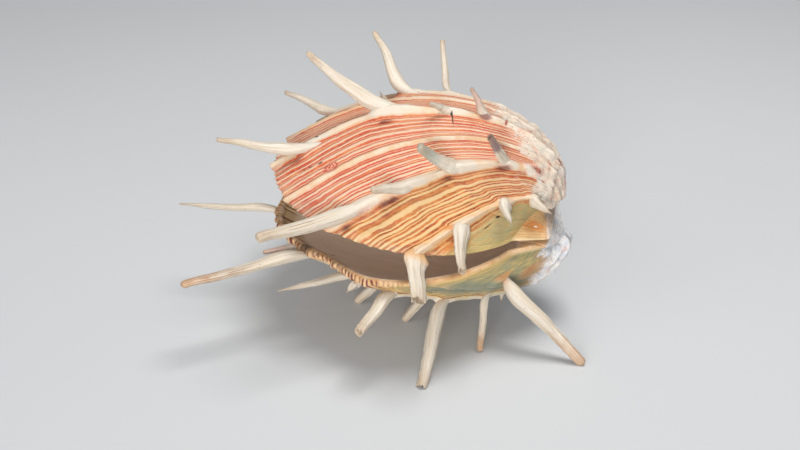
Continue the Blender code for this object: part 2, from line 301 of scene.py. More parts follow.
def to_scene(points, pitch):
    """Shell frame to the scene's directions, in millimetres."""
    turn = rotation("z", YAW) @ rotation("x", ROLL) @ rotation("y", pitch)
    return (points * np.array([-1.0, -1.0, 1.0])) @ turn.T + HINGE


def unit(vectors):
    return vectors / np.maximum(np.linalg.norm(vectors, axis=-1, keepdims=True), 1e-9)


def outline(theta, valve):
    """The margin in the plane where the valves meet."""
    c = valve["centre"]
    a = valve["length"] - c
    b = valve["half_width"]
    h = valve["half_hinge"]
    xe = valve["ear_start"]
    start = math.acos((xe - c) / a)
    ye = b * math.sin(start)
    t = np.abs(theta)
    x = c + a * np.cos(t)
    y = b * np.sin(t)
    edge = math.hypot(xe, ye - h)
    cut = edge / (edge + h)
    f = np.clip((t - start) / (math.pi - start), 0.0, 1.0)
    f1 = np.clip(f / cut, 0.0, 1.0)
    f2 = np.clip((f - cut) / (1.0 - cut), 0.0, 1.0)
    x = np.where(t > start, xe * (1.0 - f1), x)
    y = np.where(t > start, (ye + (h - ye) * f1) * (1.0 - f2), y)
    amount, angle, wide = valve["pinch"]
    pulled = 1.0 - amount * bell(np.degrees(theta) - angle, wide)
    return x * pulled, (np.sign(theta) * y + valve["skew"] * x) * pulled


def grown(theta, s, valve):
    """Point of the outer surface: the margin shrunk by s and coiled up to the umbo."""
    x, y = outline(theta, valve)
    s = np.maximum(s, 1e-4)
    coil = valve["coil"] * (1.0 + valve["side_coil"] * np.sin(theta) ** 2)
    turn = np.minimum(-np.log(s) / coil, LAST_TURN)
    ux, uz = valve["umbo"]
    px = (1.0 - s) * ux + s * x * np.cos(turn)
    pz = (1.0 - s) * uz + s * x * np.sin(turn) + valve["edge"]
    return np.stack([px, s * y, pz], axis=-1)


def outward(theta, s, valve):
    e = 1e-3
    across = grown(theta + e, s, valve) - grown(theta - e, s, valve)
    along = grown(theta, s + e, valve) - grown(theta, s - e, valve)
    return unit(np.cross(along, across))


def mark_scale(mark, valve):
    """How fast a mark falls off, for each degree across the rib and each unit of growth."""
    angle, at, wide, long = mark[:4]
    x, y = outline(np.radians(np.array([angle])), valve)
    reach = GROWTH_STRETCH * float(np.hypot(x, y)[0])
    return MM_PER_DEGREE * max(at, 0.08) / wide, reach / long


def spots(degrees, s, marks, valve):
    """Soft oval marks on the surface, 0 to 1."""
    out = np.zeros_like(degrees)
    for mark in marks:
        across, along = mark_scale(mark, valve)
        square = ((degrees - mark[0]) * across) ** 2 + ((s - mark[1]) * along) ** 2
        out = np.maximum(out, mark[4] * np.exp(-square))
    return out


def swelling(growth, up, down):
    """Rises and falls again along a rib, between these distances from a spine's root."""
    along = growth * RIB_LENGTH
    return smooth(along, *up) * (1.0 - smooth(along, *down))


def cord_swell(angles, s, spines):
    """How much each cord widens on its way to the spines that rise from it."""
    out = np.ones_like(angles)
    half = CORD_HALF_WIDTH[0] + CORD_HALF_WIDTH[1] * s
    for angle, at, _, root, _, _, rise, _, _, _ in spines:
        ramp = swelling(s - at, (-1.7 * rise, -0.1 * rise), (0.3 * root, 1.6 * root))
        more = np.clip(0.75 * root / half - 1.0, 0.0, 2.0) * ramp
        on_cord = np.abs(angles - angle) < CORD_REACH
        out = np.maximum(out, 1.0 + more[..., None] * on_cord)
    return out


def rib_pattern(degrees, s, cords, spines, seed):
    """The ribs at each point: phase counts the riblets and is whole on each crest, cord is
    the distance to the nearest cord in half widths of it, size is that cord's relative
    width, and the last is a painted shade, strongest along a cord's lower foot."""
    widths = np.array([width for width, _ in cords])
    angles = np.stack([np.interp(s, COURSE_AT, course) for _, course in cords], axis=-1)
    mm = MM_PER_DEGREE * np.maximum(s, 0.05)
    half = CORD_HALF_WIDTH[0] + CORD_HALF_WIDTH[1] * s
    ends = np.concatenate([angles[..., -1:] - 360.0, angles, angles[..., :1] + 360.0], axis=-1)
    sizes = np.concatenate([widths[-1:], widths, widths[:1]])
    swell = cord_swell(ends, s, spines)
    halves = half[..., None] * sizes * swell
    phase = np.zeros_like(degrees)
    count = 0
    last = ends.shape[-1] - 2
    for k in range(last + 1):
        low = ends[..., k]
        gap = ends[..., k + 1] - low
        inside = (degrees >= low) & (degrees < low + gap)
        low_rest = np.minimum(halves[..., k] / mm, 0.25 * gap)
        high_rest = np.minimum(halves[..., k + 1] / mm, 0.25 * gap)
        share = np.clip((degrees - low - low_rest) / (gap - low_rest - high_rest), 0.0, 1.0)
        steps = RIBLETS + 1 if 0 < k < last else SIDE_RIBLETS
        own = count + share * steps
        drift = 0.32 * wander(own * 0.8 + 3.0, s * 2.5, seed + 11) * np.sin(np.pi * share)
        phase = np.where(inside, own + drift, phase)
        count += steps
    away = (degrees[..., None] - ends) * mm[..., None]
    ratio = np.abs(away) / halves
    nearest = ratio.argmin(axis=-1)
    below = away * np.sign(ends) - halves
    # Painted shade along each cord's lower foot, deeper beside bigger cords.
    foot = smooth(below, -0.5, 0.3) * (1.0 - smooth(below, 0.3, 2.6))
    foot_shade = np.max(foot * sizes**2, axis=-1) * (0.75 + 0.35 * wander(s * 9.0, 0.0, seed + 12))
    size = sizes[nearest] * np.take_along_axis(swell, nearest[..., None], -1)[..., 0] ** 0.3
    return {"phase": phase, "cord": ratio.min(axis=-1), "size": size, "foot_shade": foot_shade}


def buttress(degrees, s, spines):
    """The swelling of the cord where it rises into each spine."""
    out = np.zeros_like(degrees)
    for angle, at, _, root, _, _, rise, _, _, _ in spines:
        across = (degrees - angle) * MM_PER_DEGREE * np.maximum(s, 0.05)
        ramp = swelling(s - at, (-1.2 * rise, 0.0), (0.2 * root, 1.5 * root))
        out = np.maximum(out, BUTTRESS * root * bell(across, 1.2 * root) * ramp)
    return out


def zone_masks(degrees, s, valve):
    """How far the zones reach: warm, plain, chalk and ear, each 0 to 1."""
    drift = 2.5 * wander(s * 9.0, 0.0, valve["seed"] + 1)
    side = np.abs(degrees)
    ear = smooth(side, 148.0, 152.0)
    if valve is UPPER:
        warm = smooth(degrees + drift, 62.0, 74.0) + smooth(-degrees + drift, 70.0, 92.0)
        warm *= 0.5 + 0.5 * smooth(s, 0.32, 0.66)
        plain = smooth(degrees + drift, 112.0, 123.0) + smooth(-degrees + drift, 119.0, 127.0)
        reach = 0.29 + 0.12 * (1.0 - smooth(degrees, -10.0, 25.0))
    else:
        warm = 0.35 + 0.65 * smooth(side + drift, 40.0, 75.0)
        plain = smooth(side + drift, 88.0, 106.0)
        reach = 0.34 - 0.06 * smooth(side, 70.0, 110.0) + 0.2 * smooth(side, 125.0, 150.0)
    uneven = 0.05 * wander((degrees + 180.0) / 9.0, s * 14.0, valve["seed"] + 9, 40)
    soft_end = 0.07 if valve is UPPER else 0.13
    chalk = 1.0 - smooth(s + uneven, reach - soft_end - 0.02, reach + soft_end)
    chalk = np.maximum(chalk, smooth(side, 161.0, 165.0))
    return np.clip(warm, 0, 1), np.clip(plain, 0, 1), np.clip(chalk, 0, 1), ear


def relief(degrees, s, valve, ribs, zones, spines, scar, points):
    """Height of the outer surface over the smooth form."""
    warm, plain, chalk, ear = zones
    seed = valve["seed"]
    disc = 1.0 - smooth(np.abs(degrees), *DISC_END)
    ribbed = disc * (1.0 - 0.9 * plain) * (1.0 - 0.6 * chalk)
    around = (degrees + 180.0) / 6.0
    whole = 1.0 - 0.85 * scar
    soft = 1.0 + 0.12 * wander(around, s * 34.0, seed + 2, 60)
    lower_end = 1.0 - valve["cord_fall"] * smooth(s, 0.9, 0.99)
    height = CORD_HEIGHT * ribs["size"] * bell(ribs["cord"], 0.9) * soft * disc * whole
    height *= lower_end
    height += 0.25 * bell(ribs["cord"], 2.2) * disc
    crest = 0.5 + 0.5 * np.cos(2.0 * np.pi * ribs["phase"])
    strong = 0.72 + 0.28 * wander(np.round(ribs["phase"]) * 1.37, s * 5.0, seed + 3)
    beads = 1.0 + 0.16 * wander(around * 0.7, s * 60.0, seed + 4, 42)
    height += 0.25 * crest * ribbed * strong * beads
    height += 0.1 * wander(around * 0.25 + 3.0, s * 26.0, seed + 5, 15) * (0.4 + 0.6 * disc)
    bend = 0.006 * wander(around * 0.5, 0.0, seed + 6, 30)
    for halt, depth in HALTS:
        height -= depth * bell(s - halt - bend, HALT_WIDTH)
    flakes = plain if valve is LOWER else 0.3 * plain
    height += 0.22 * flakes * wander(around * 0.4 + 5.0, s * 22.0, seed + 10, 24) * smooth(s, 0.3, 0.5)
    height *= np.clip(s * 2.2, 0.0, 1.0)
    rough = 0.5 * lumps(points, 1.9, seed) + 0.6 * np.abs(lumps(points, 4.5, seed + 7))
    rough += 0.35 * lumps(points, 1.1, seed + 3)
    height += chalk * (0.6 + 1.15 * rough) * smooth(s, 0.0, 0.1) * (0.3 + 0.7 * disc)
    height += scar * (0.5 * lumps(points, 1.1, seed + 5) - 0.15)
    return height + buttress(degrees, s, spines)


def column_degrees():
    half = list(np.linspace(0.0, EAR_ANGLE, DISC_COLUMNS + 1))
    half += list(np.linspace(EAR_ANGLE, CORNER_ANGLE, EAR_COLUMNS + 1))[1:]
    half += list(np.linspace(CORNER_ANGLE, 180.0, HINGE_COLUMNS + 1))[1:]
    return np.array([-a for a in half[-2:0:-1]] + half)


def grid_faces(rows, columns):
    """Quads of a grid that closes round its columns, and triangles to a pole at each end."""
    index = np.arange(rows * columns).reshape(rows, columns)
    turned = np.roll(index, -1, axis=1)
    quads = np.stack([index[:-1], turned[:-1], turned[1:], index[1:]], axis=-1).reshape(-1, 4)
    first = rows * columns
    caps = [(first, b, a) for a, b in zip(index[0], turned[0])]
    caps += [(first + 1, a, b) for a, b in zip(index[-1], turned[-1])]
    return quads.tolist(), [tuple(int(v) for v in face) for face in caps]


def show(name, data):
    obj = bpy.data.objects.new(name, data)
    bpy.context.scene.collection.objects.link(obj)
    return obj


def mesh_piece(name, points, faces, values, material):
    """An object from points in millimetres, with one named number for each point."""
    mesh = bpy.data.meshes.new(name)
    mesh.from_pydata((points * MM).tolist(), [], faces)
    for key, numbers in values.items():
        attribute = mesh.attributes.new(key, "FLOAT", "POINT")
        attribute.data.foreach_set("value", np.asarray(numbers, np.float32).ravel())
    mesh.polygons.foreach_set("use_smooth", np.ones(len(mesh.polygons), bool))
    mesh.materials.append(material)
    mesh.update()
    return show(name, mesh)


def within_node(points, node):
    """The points, held inside the box of the node that they stand for."""
    low, high = (np.array(corner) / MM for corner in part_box(node))
    return np.clip(points, low, high)


def inner_wall(theta, s, valve):
    """The cavity's wall: the outer surface set in towards the middle of the valve."""
    p = grown(theta, s, valve)
    middle = np.array(valve["middle"])
    away = p - middle
    reach = np.linalg.norm(away, axis=-1, keepdims=True)
    wall = valve["rim"] + UMBO_WALL * (1.0 - s)
    p = middle + away * (1.0 - wall[..., None] / reach)
    p[..., 0] = np.maximum(p[..., 0], HINGE_PLATE)
    return p


def valve_skin(valve, cords, spines, marks, material):
    """The whole skin of one valve as one closed mesh: outside, margin and hollow."""
    columns = column_degrees()
    outer_s = 0.012 + 0.988 * np.linspace(0.0, 1.0, OUTER_ROWS) ** 1.1
    degrees, s = np.meshgrid(columns, outer_s)
    theta = np.radians(degrees)
    smooth_form = grown(theta, s, valve)
    ribs = rib_pattern(degrees, s, cords, spines, valve["seed"])
    zones = zone_masks(degrees, s, valve)
    warm, plain, chalk, ear = zones
    scar = np.clip(spots(degrees, s, marks["scars"], valve), 0.0, 1.0)
    height = relief(degrees, s, valve, ribs, zones, spines, scar, smooth_form)
    disc = 1.0 - smooth(np.abs(degrees), *DISC_END)
    frill = (1.0 - plain) * disc
    scallop = 0.22 * np.cos(2.0 * np.pi * ribs["phase"]) * frill
    scallop += 0.12 * np.cos(4.0 * np.pi * ribs["phase"]) * frill * (1.0 - valve["cord_fall"])
    scallop += 0.35 * (1.0 - valve["cord_fall"]) * bell(ribs["cord"], 1.0) * disc
    scallop += 0.6 * wander((degrees + 180.0) / 15.0, 0.0, valve["seed"] + 8, 24) * disc
    flat = smooth_form - np.array([valve["centre"], 0.0, 0.0])
    flat[..., 2] = 0.0
    reach = (scallop * smooth(s, 0.93, 1.0))[..., None]
    outer = smooth_form + height[..., None] * outward(theta, s, valve) + reach * unit(flat)

    # The margin's edge turns under and meets the hollow's wall.
    last = outer[-1]
    wave = 0.12 * np.cos(4.0 * np.pi * ribs["phase"][-1]) * frill[-1] * (1.0 - valve["cord_fall"])
    inner_edge = inner_wall(theta[-1], np.ones(len(columns)), valve)
    inner_edge[..., 2] = MARGIN_HEIGHT
    rim_at = np.linspace(0.0, 1.0, RIM_ROWS + 1)[1:]
    rim = []
    for q in rim_at:
        row = last + (inner_edge - last) * q**1.7
        drop = last[..., 2] * (1.0 - math.sin(0.5 * math.pi * min(1.8 * q, 1.0)))
        row[..., 2] = drop + MARGIN_HEIGHT * q + wave * (1.0 - q)
        rim.append(row)
    rim = np.array(rim)

    inner_s = 1.0 - 0.68 * np.linspace(0.0, 1.0, INNER_ROWS + 1)[1:] ** 1.6
    inner_degrees, ins = np.meshgrid(columns, inner_s)
    inner = inner_wall(np.radians(inner_degrees), ins, valve)
    inner[..., 2] = np.maximum(inner[..., 2], MARGIN_HEIGHT)
    at_margin = np.ones_like(ins)
    inner_phase = rib_pattern(inner_degrees, at_margin, cords, spines, valve["seed"])["phase"]
    end_side = 1.0 - smooth(np.abs(inner_degrees), 40.0, 80.0)
    band = 1.0 - smooth(1.0 - ins, 0.01 + 0.02 * end_side, 0.02 + 0.045 * end_side)
    fold = 0.22 * np.cos(2.0 * np.pi * inner_phase) * band
    fold *= 1.0 - smooth(np.abs(inner_degrees), 100.0, 140.0)
    inner = inner + fold[..., None] * unit(np.array(valve["middle"]) - inner)
    end = inner[-1].mean(axis=0)
    closing = np.array([end + (inner[-1] - end) * q for q in (0.75, 0.5, 0.25)])

    tip = grown(np.zeros(1), np.full(1, 1e-4), valve)
    points = np.concatenate([outer, rim, inner, closing]).reshape(-1, 3)
    points = np.concatenate([points, tip, end[None]])
    points[:, 2] = valve["side"] * (points[:, 2] + HINGE_GAP)
    quads, caps = grid_faces(OUTER_ROWS + RIM_ROWS + INNER_ROWS + 3, len(columns))

    def spread(outer_values, rim_values=None, inner_values=0.0):
        """One number a point: the outer rows' own, then the rim's, then the hollow's."""
        rim_rows = np.repeat(outer_values[-1:], RIM_ROWS, axis=0)
        if rim_values is not None:
            rim_rows = np.zeros_like(rim_rows) + np.asarray(rim_values)[:, None]
        inside_rows = np.zeros((INNER_ROWS, len(columns))) + inner_values
        inside_rows = np.concatenate([inside_rows, np.repeat(inside_rows[-1:], 3, axis=0)])
        flat_values = np.concatenate([outer_values, rim_rows, inside_rows]).ravel()
        return np.concatenate([flat_values, [outer_values[0, 0], flat_values[-1]]])

    zero = np.zeros_like(s)
    fringe = smooth(s, 0.955, 0.985) * (1.0 - plain) * disc
    own = {"warm": warm, "plain": plain, "chalk": chalk, "ear": ear, "scar": scar, "fringe": fringe}
    own["foot_shade"] = np.clip(ribs["foot_shade"] * disc, 0, 1)
    own["near"] = np.clip(buttress(degrees, s, spines) / 0.6, 0, 1)
    for key, kind in (("dark_mark", "dark_marks"), ("patch", "patches")):
        own[key] = np.clip(spots(degrees, s, marks[kind], valve), 0, 1)
    values = {key: spread(numbers) for key, numbers in own.items()}
    values |= {
        "rib": spread(ribs["phase"], None, inner_phase),
        "growth": spread(s, None, ins),
        "angle": spread(degrees, None, inner_degrees),
        "cord": spread(ribs["cord"], None, 9.0),
        "lip": spread(zero, rim_at, 1.0),
        "band": spread(zero, rim_at * 0.0, band),
        "inside": spread(zero, smooth(rim_at, 0.8, 1.0) * 0.6, 1.0),
    }
    faces = [tuple(face) for face in quads] + caps
    if valve["side"] > 0:
        faces = [face[::-1] for face in faces]
    placed = within_node(to_scene(points, valve["pitch"]), valve["node"])
    return mesh_piece(valve["node"] + "_shell", placed, faces, values, material)


def surface_point(rib, s, valve, lift):
    """(point, normal) on the outer surface in the scene, raised along the normal."""
    theta = np.radians(np.array([rib]))
    at = np.array([s])
    n = outward(theta, at, valve)
    p = grown(theta, at, valve) + lift * n
    p[:, 2] = valve["side"] * (p[:, 2] + HINGE_GAP)
    n[:, 2] = valve["side"] * n[:, 2]
    turn = to_scene(n, valve["pitch"]) - HINGE
    return to_scene(p, valve["pitch"])[0], turn[0]


TINTS = ("pink", "glass", "purple", "rust", "red", "web")
# Tints that are weaker than full, or a weaker form of another; cream has none.
WEAK_TINTS = {
    "pink": ("pink", 0.6),
    "dim": ("glass", 0.4),
    "rust": ("rust", 0.7),
    "streaked": ("rust", 0.5),
}


def thorn_values(valve, thorn):
    """A short thorn's values in the form that the spines have."""
    rib, s, height, lean, root, tint = thorn
    foot, normal = surface_point(rib, s, valve, 0.0)
    ahead, _ = surface_point(rib, s + 0.02, valve, 0.0)
    tip = foot + (height + 0.8) * normal + lean * unit(ahead - foot) - HINGE
    return (rib, s, tuple(tip), root, 0.3 * root, 0.85, 2.0 * root, 0.0, "point", tint)


def spine_path(valve, values):
    """(place, centres, radii) of a spine's rings, place running from 0 at the root to 1."""
    rib, s, tip, root, end, _, rise, _, style, _ = values
    back = max(s - rise / valve["length"], 0.06)
    start, _ = surface_point(rib, back, valve, -START_DEPTH * root)
    foot, normal = surface_point(rib, s, valve, FOOT_LIFT * root)
    tip = np.array(tip) + HINGE
    if style not in RAGGED:
        tip = tip - DOME_HEIGHT * end * unit(tip - foot)
    leave = foot + BEND_REACH * (tip - foot)
    place = np.linspace(0.0, 1.0, SPINE_RINGS)
    q = np.clip(place / BEND_END, 0.0, 1.0)[:, None]
    bend = (1 - q) ** 2 * start + 2 * q * (1 - q) * foot + q * q * leave
    r = np.clip((place - BEND_END) / (1.0 - BEND_END), 0.0, 1.0)[:, None]
    centres = np.where(q < 1.0, bend, leave + r * (tip - leave))
    q = q[:, 0]
    r = r[:, 0]
    radii = root * (0.3 + 0.7 * smooth(q, 0.06, 0.92))
    radii = np.where(q < 1.0, radii, root + (end - root) * r**0.85)
    flare = 1.7 * max(0.85 - values[5], 0.0)
    radii = radii * (1.0 + flare * bell(place - 0.3, 0.15))
    if style == "point":
        radii = radii * (1.0 - 0.6 * smooth(r, 0.6, 1.0))
    return place, r, centres, radii, normal


def ring_frames(centres, normal):
    """Two directions across the spine at each ring, carried along it without a twist."""
    ahead = unit(np.gradient(centres, axis=0))
    side = unit(np.cross(ahead[0], normal))
    sides = []
    for heading in ahead:
        side = unit(side - heading * (side @ heading))
        sides.append(side)
    sides = np.array(sides)
    return ahead, sides, np.cross(sides, ahead)


def spine_mesh(valve, values, seed):
    """(points, faces, numbers) of one spine, hollow or rounded at its end."""
    _, _, tip, root, end, flat, _, bow, style, tint = values
    rng = np.random.default_rng(seed)
    place, r, centres, radii, normal = spine_path(valve, values)
    length = np.linalg.norm(centres[-1] - centres[0])
    ahead, side, up = ring_frames(centres, normal)
    centres = centres + (bow * 16.0 * (r * (1.0 - r)) ** 2)[:, None] * up
    round_at = 2.0 * np.pi * np.arange(SPINE_SIDES) / SPINE_SIDES
    turned = round_at + 0.3 * place[:, None]
    grooves = np.zeros(SPINE_SIDES)
    for folds, depth in ((3, 0.045), (7, 0.03), (11, 0.022)):
        grooves += depth * np.cos(folds * round_at + rng.uniform(0.0, 6.0))
    gutter = bell(round_at - 1.5 * np.pi, 0.5)
    lips = bell(round_at - 1.25 * np.pi, 0.3) + bell(round_at - 1.75 * np.pi, 0.3)
    down = place[:, None]
    free = smooth(down, 0.3, 0.5) * (1.0 - smooth(down, 0.92, 1.0))
    for across, row in ((side, 4.5), (up, 6.5)):
        centres = centres + 0.16 * root * wander(down * 5.0, row, seed + 3) * free * across
    worn = 0.16 if style in RAGGED else 0.07
    spread = 1.0 + 0.07 * wander(down * 11.0, 0.5, seed + 1) + grooves * smooth(down, 0.15, 0.5)
    spread -= 0.14 * gutter * smooth(down, 0.3, 0.6)
    spread += worn * lips * wander(down * 46.0, 2.5, seed + 2) * smooth(down, 0.5, 0.75)
    rough = wander(down * 50.0, 14.0 * round_at / (2.0 * np.pi), seed + 4)
    spread += 0.035 * rough * smooth(down, 0.3, 0.6)
    spread = spread * radii[:, None]
    rings = centres[:, None, :] + (spread * np.cos(turned))[..., None] * side[:, None, :]
    rings = rings + (spread * flat * np.sin(turned))[..., None] * up[:, None, :]
    jag = rng.uniform(-1.0, 1.0, SPINE_SIDES)
    jag = 0.5 * (jag + np.roll(jag, 1)) + 0.4 * np.cos(round_at + rng.uniform(0.0, 6.0))
    centre = rings[-1].mean(axis=0)
    heading = ahead[-1]
    extra = []
    if style in RAGGED:
        reach = 0.4 * end * jag[None, :] * smooth(place, 0.9, 1.0)[:, None]
        rings = rings + reach[..., None] * heading
        last = rings[-1] - centre
        for shrink, sink in ((0.8, 0.1), (0.66, 0.5), (0.5, 1.1)):
            extra.append(centre + last * shrink - heading * end * sink)
        end_point = centre - heading * end * 1.3
    else:
        last = rings[-1] - centre
        for q in np.linspace(0.0, 1.0, DOME_RINGS + 1)[1:]:
            turn = 0.47 * math.pi * q
            extra.append(centre + last * math.cos(turn) + heading * DOME_HEIGHT * end * math.sin(turn))
        end_point = centre + heading * DOME_HEIGHT * end
    rings = np.concatenate([rings, np.array(extra)])
    points = np.concatenate([rings.reshape(-1, 3), rings[0].mean(axis=0)[None], end_point[None]])
    quads, caps = grid_faces(len(rings), SPINE_SIDES)
    along = np.concatenate([place, np.ones(len(extra))])
    around = np.concatenate([np.tile(round_at, len(rings)), [0.0, 0.0]])
    numbers = {
        "along": np.concatenate([np.repeat(along, SPINE_SIDES), [0.0, 1.0]]),
        "ring_x": np.cos(around),
        "ring_y": np.sin(around),
        "length": np.full(len(points), length),
        "own": np.full(len(points), rng.uniform(0.0, 1.0)),
    }
    tinted, amount = WEAK_TINTS.get(tint, (tint, 1.0))
    for key in TINTS:
        numbers[key] = np.full(len(points), amount if key == tinted else 0.0)
    return points, [tuple(face) for face in quads] + caps, numbers


def spines_piece(valve, spines, thorns, material):
    all_points = []
    all_faces = []
    all_numbers = {}
    first = 0
    every = list(spines) + [thorn_values(valve, thorn) for thorn in thorns]
    for number, values in enumerate(every):
        points, faces, numbers = spine_mesh(valve, values, valve["seed"] + 20 + number)
        all_points.append(points)
        all_faces += [tuple(v + first for v in face) for face in faces]
        first += len(points)
        for key, array in numbers.items():
            all_numbers.setdefault(key, []).append(array)
    points = within_node(np.concatenate(all_points), valve["node"])
    numbers = {key: np.concatenate(arrays) for key, arrays in all_numbers.items()}
    return mesh_piece(valve["node"] + "_spines", points, all_faces, numbers, material)


class Graph:
    """One material's nodes, with up to three noises of its own that break up edges."""

    def __init__(self, name):
        self.material = bpy.data.materials.new(name)
        self.material.use_nodes = True
        self.tree = self.material.node_tree
        self.shader = self.tree.nodes["Principled BSDF"]
        self.here = self.tree.nodes.new("ShaderNodeTexCoord").outputs["Object"]
        self.look = {}
        self.broad = None
        self.medium = None
        self.fine = None

    def feed(self, socket, value):
        """A socket takes another node's result, a plain value or one of the look's by name."""
        if isinstance(value, str):
            value = self.look[value]
        if isinstance(value, bpy.types.NodeSocket):
            self.tree.links.new(value, socket)
        else:
            socket.default_value = value

    def attribute(self, name):
        node = self.tree.nodes.new("ShaderNodeAttribute")
        node.attribute_name = name
        return node.outputs["Fac"]

    def math(self, operation, *values):
        node = self.tree.nodes.new("ShaderNodeMath")
        node.operation = operation
        for socket, value in zip(node.inputs, values):
            self.feed(socket, value)
        return node.outputs[0]

    def add(self, total, *values):
        for value in values:
            total = self.math("ADD", total, value)
        return total

    def times(self, product, *values):
        for value in values:
            product = self.math("MULTIPLY", product, value)
        return product

    def take(self, a, b):
        return self.math("SUBTRACT", a, b)

    def less(self, a):
        return self.take(1.0, a)

    def moved(self, value, medium=0.0, fine=0.0, broad=0.0):
        """The value, pushed up to half of each amount either way by the material's noises."""
        for own, amount in ((self.broad, broad), (self.medium, medium), (self.fine, fine)):
            if amount:
                value = self.add(value, self.times(self.take(own, 0.5), amount))
        return value

    def smooth(self, value, low, high, start=0.0, end=1.0):
        node = self.tree.nodes.new("ShaderNodeMapRange")
        node.interpolation_type = "SMOOTHSTEP"
        keys = ("Value", "From Min", "From Max", "To Min", "To Max")
        for key, number in zip(keys, (value, low, high, start, end)):
            self.feed(node.inputs[key], number)
        return node.outputs["Result"]

    def edge(self, value, low, high, medium=0.0, fine=0.0, broad=0.0):
        """A soft step from low to high, made uneven by the material's noises."""
        return self.smooth(self.moved(value, medium, fine, broad), low, high)

    def mix(self, factor, a, b):
        node = self.tree.nodes.new("ShaderNodeMix")
        node.data_type = "RGBA"
        for index, value in ((0, factor), (6, a), (7, b)):
            self.feed(node.inputs[index], value)
        return node.outputs[2]

    def over(self, below, above, *amounts):
        """One colour laid over another, as strongly as the product of the amounts."""
        return self.mix(self.times(*amounts), below, above)

    def noise(self, scale, detail=2.0, roughness=0.5, at=None):
        node = self.tree.nodes.new("ShaderNodeTexNoise")
        self.feed(node.inputs["Vector"], self.here if at is None else at)
        for key, value in (("Scale", scale), ("Detail", detail), ("Roughness", roughness)):
            node.inputs[key].default_value = value
        return node.outputs["Fac"]

    def drawn(self, x, per_x, y, per_y, detail=2.0, roughness=0.5, z=0.0):
        """Noise over numbers of the mesh, so many cells for each unit of x and of y."""
        node = self.tree.nodes.new("ShaderNodeCombineXYZ")
        for socket, value in zip(node.inputs, (self.times(x, per_x), self.times(y, per_y), z)):
            self.feed(socket, value)
        return self.noise(1.0, detail, roughness, node.outputs[0])

    def chance(self, value):
        node = self.tree.nodes.new("ShaderNodeTexWhiteNoise")
        node.noise_dimensions = "1D"
        self.feed(node.inputs["W"], value)
        return node.outputs["Value"]

    def finish(self, colour, rough, height, distance, strength):
        node = self.tree.nodes.new("ShaderNodeBump")
        node.inputs["Distance"].default_value = distance
        node.inputs["Strength"].default_value = strength
        self.feed(node.inputs["Height"], height)
        self.feed(self.shader.inputs["Normal"], node.outputs["Normal"])
        self.feed(self.shader.inputs["Base Color"], colour)
        self.feed(self.shader.inputs["Roughness"], rough)
        return self.material


def lined_ground(g, here):
    """(colour, line, ridge) between the cords: pale crests, and two thin lines with a
    thread between them in each groove. Every line has its own width and breaks."""
    warm = here["warm"]
    growth = here["growth"]
    course = g.moved(here["rib"], 0.2, 0.1, 0.3)
    depth = g.math("PINGPONG", course, 0.5)
    lane = g.math("FLOOR", g.times(course, 2.0))
    luck = g.chance(g.add(lane, 0.5))
    luck_two = g.chance(g.add(lane, 37.25))
    streak = g.drawn(lane, 7.31, growth, 15.0, 3.0, 0.6)

    width = g.add(0.035, g.times(luck, 0.08), g.times(streak, 0.09))
    middle = g.add(0.27, g.times(luck_two, 0.07))
    away = g.math("ABSOLUTE", g.take(depth, middle))
    line = g.times(
        g.smooth(away, g.add(width, 0.035), g.take(width, 0.02)),
        g.smooth(streak, 0.3, 0.52, "line_low", 1.0),
        g.add(0.6, g.times(luck_two, 0.4)),
        g.smooth(g.drawn(1.0, 3.7, growth, 11.0), 0.3, 0.5, 0.55, 1.0),
        g.smooth(g.broad, 0.3, 0.58, 0.65, 1.0),
        g.smooth(here["cross"], 0.36, 0.5, 0.6, 1.0),
        g.smooth(here["angle"], -30.0, 12.0, "far_lines", 1.0),
    )

    crest = g.mix(warm, "crest", "crest_warm")
    blush = g.drawn(lane, 3.3, growth, 9.0)
    flank = g.mix(g.smooth(blush, 0.38, 0.62), "flank", "flank_two")
    flank = g.mix(warm, flank, "flank_warm")
    thread = g.mix(g.smooth(luck, 0.2, 0.8), crest, g.mix(0.45, flank, "foot_shade"))
    colour = g.mix(g.smooth(depth, 0.13, 0.25), crest, flank)
    colour = g.mix(g.smooth(depth, 0.38, 0.45), colour, thread)
    # Painted shade along the cords' lower feet, uneven in strength.
    colour = g.over(colour, "foot_shade", here["foot_shade"], g.smooth(g.medium, 0.25, 0.6, 0.2, 0.75))
    tone = g.mix(g.smooth(g.broad, 0.4, 0.62), "line", "line_two")
    warm_tone = g.mix(g.smooth(streak, 0.45, 0.65), "line_warm", "line_deep")
    tone = g.mix(warm, tone, warm_tone)
    ridge = g.smooth(depth, 0.42, 0.06)
    return g.over(colour, tone, line, "line_cover"), line, ridge


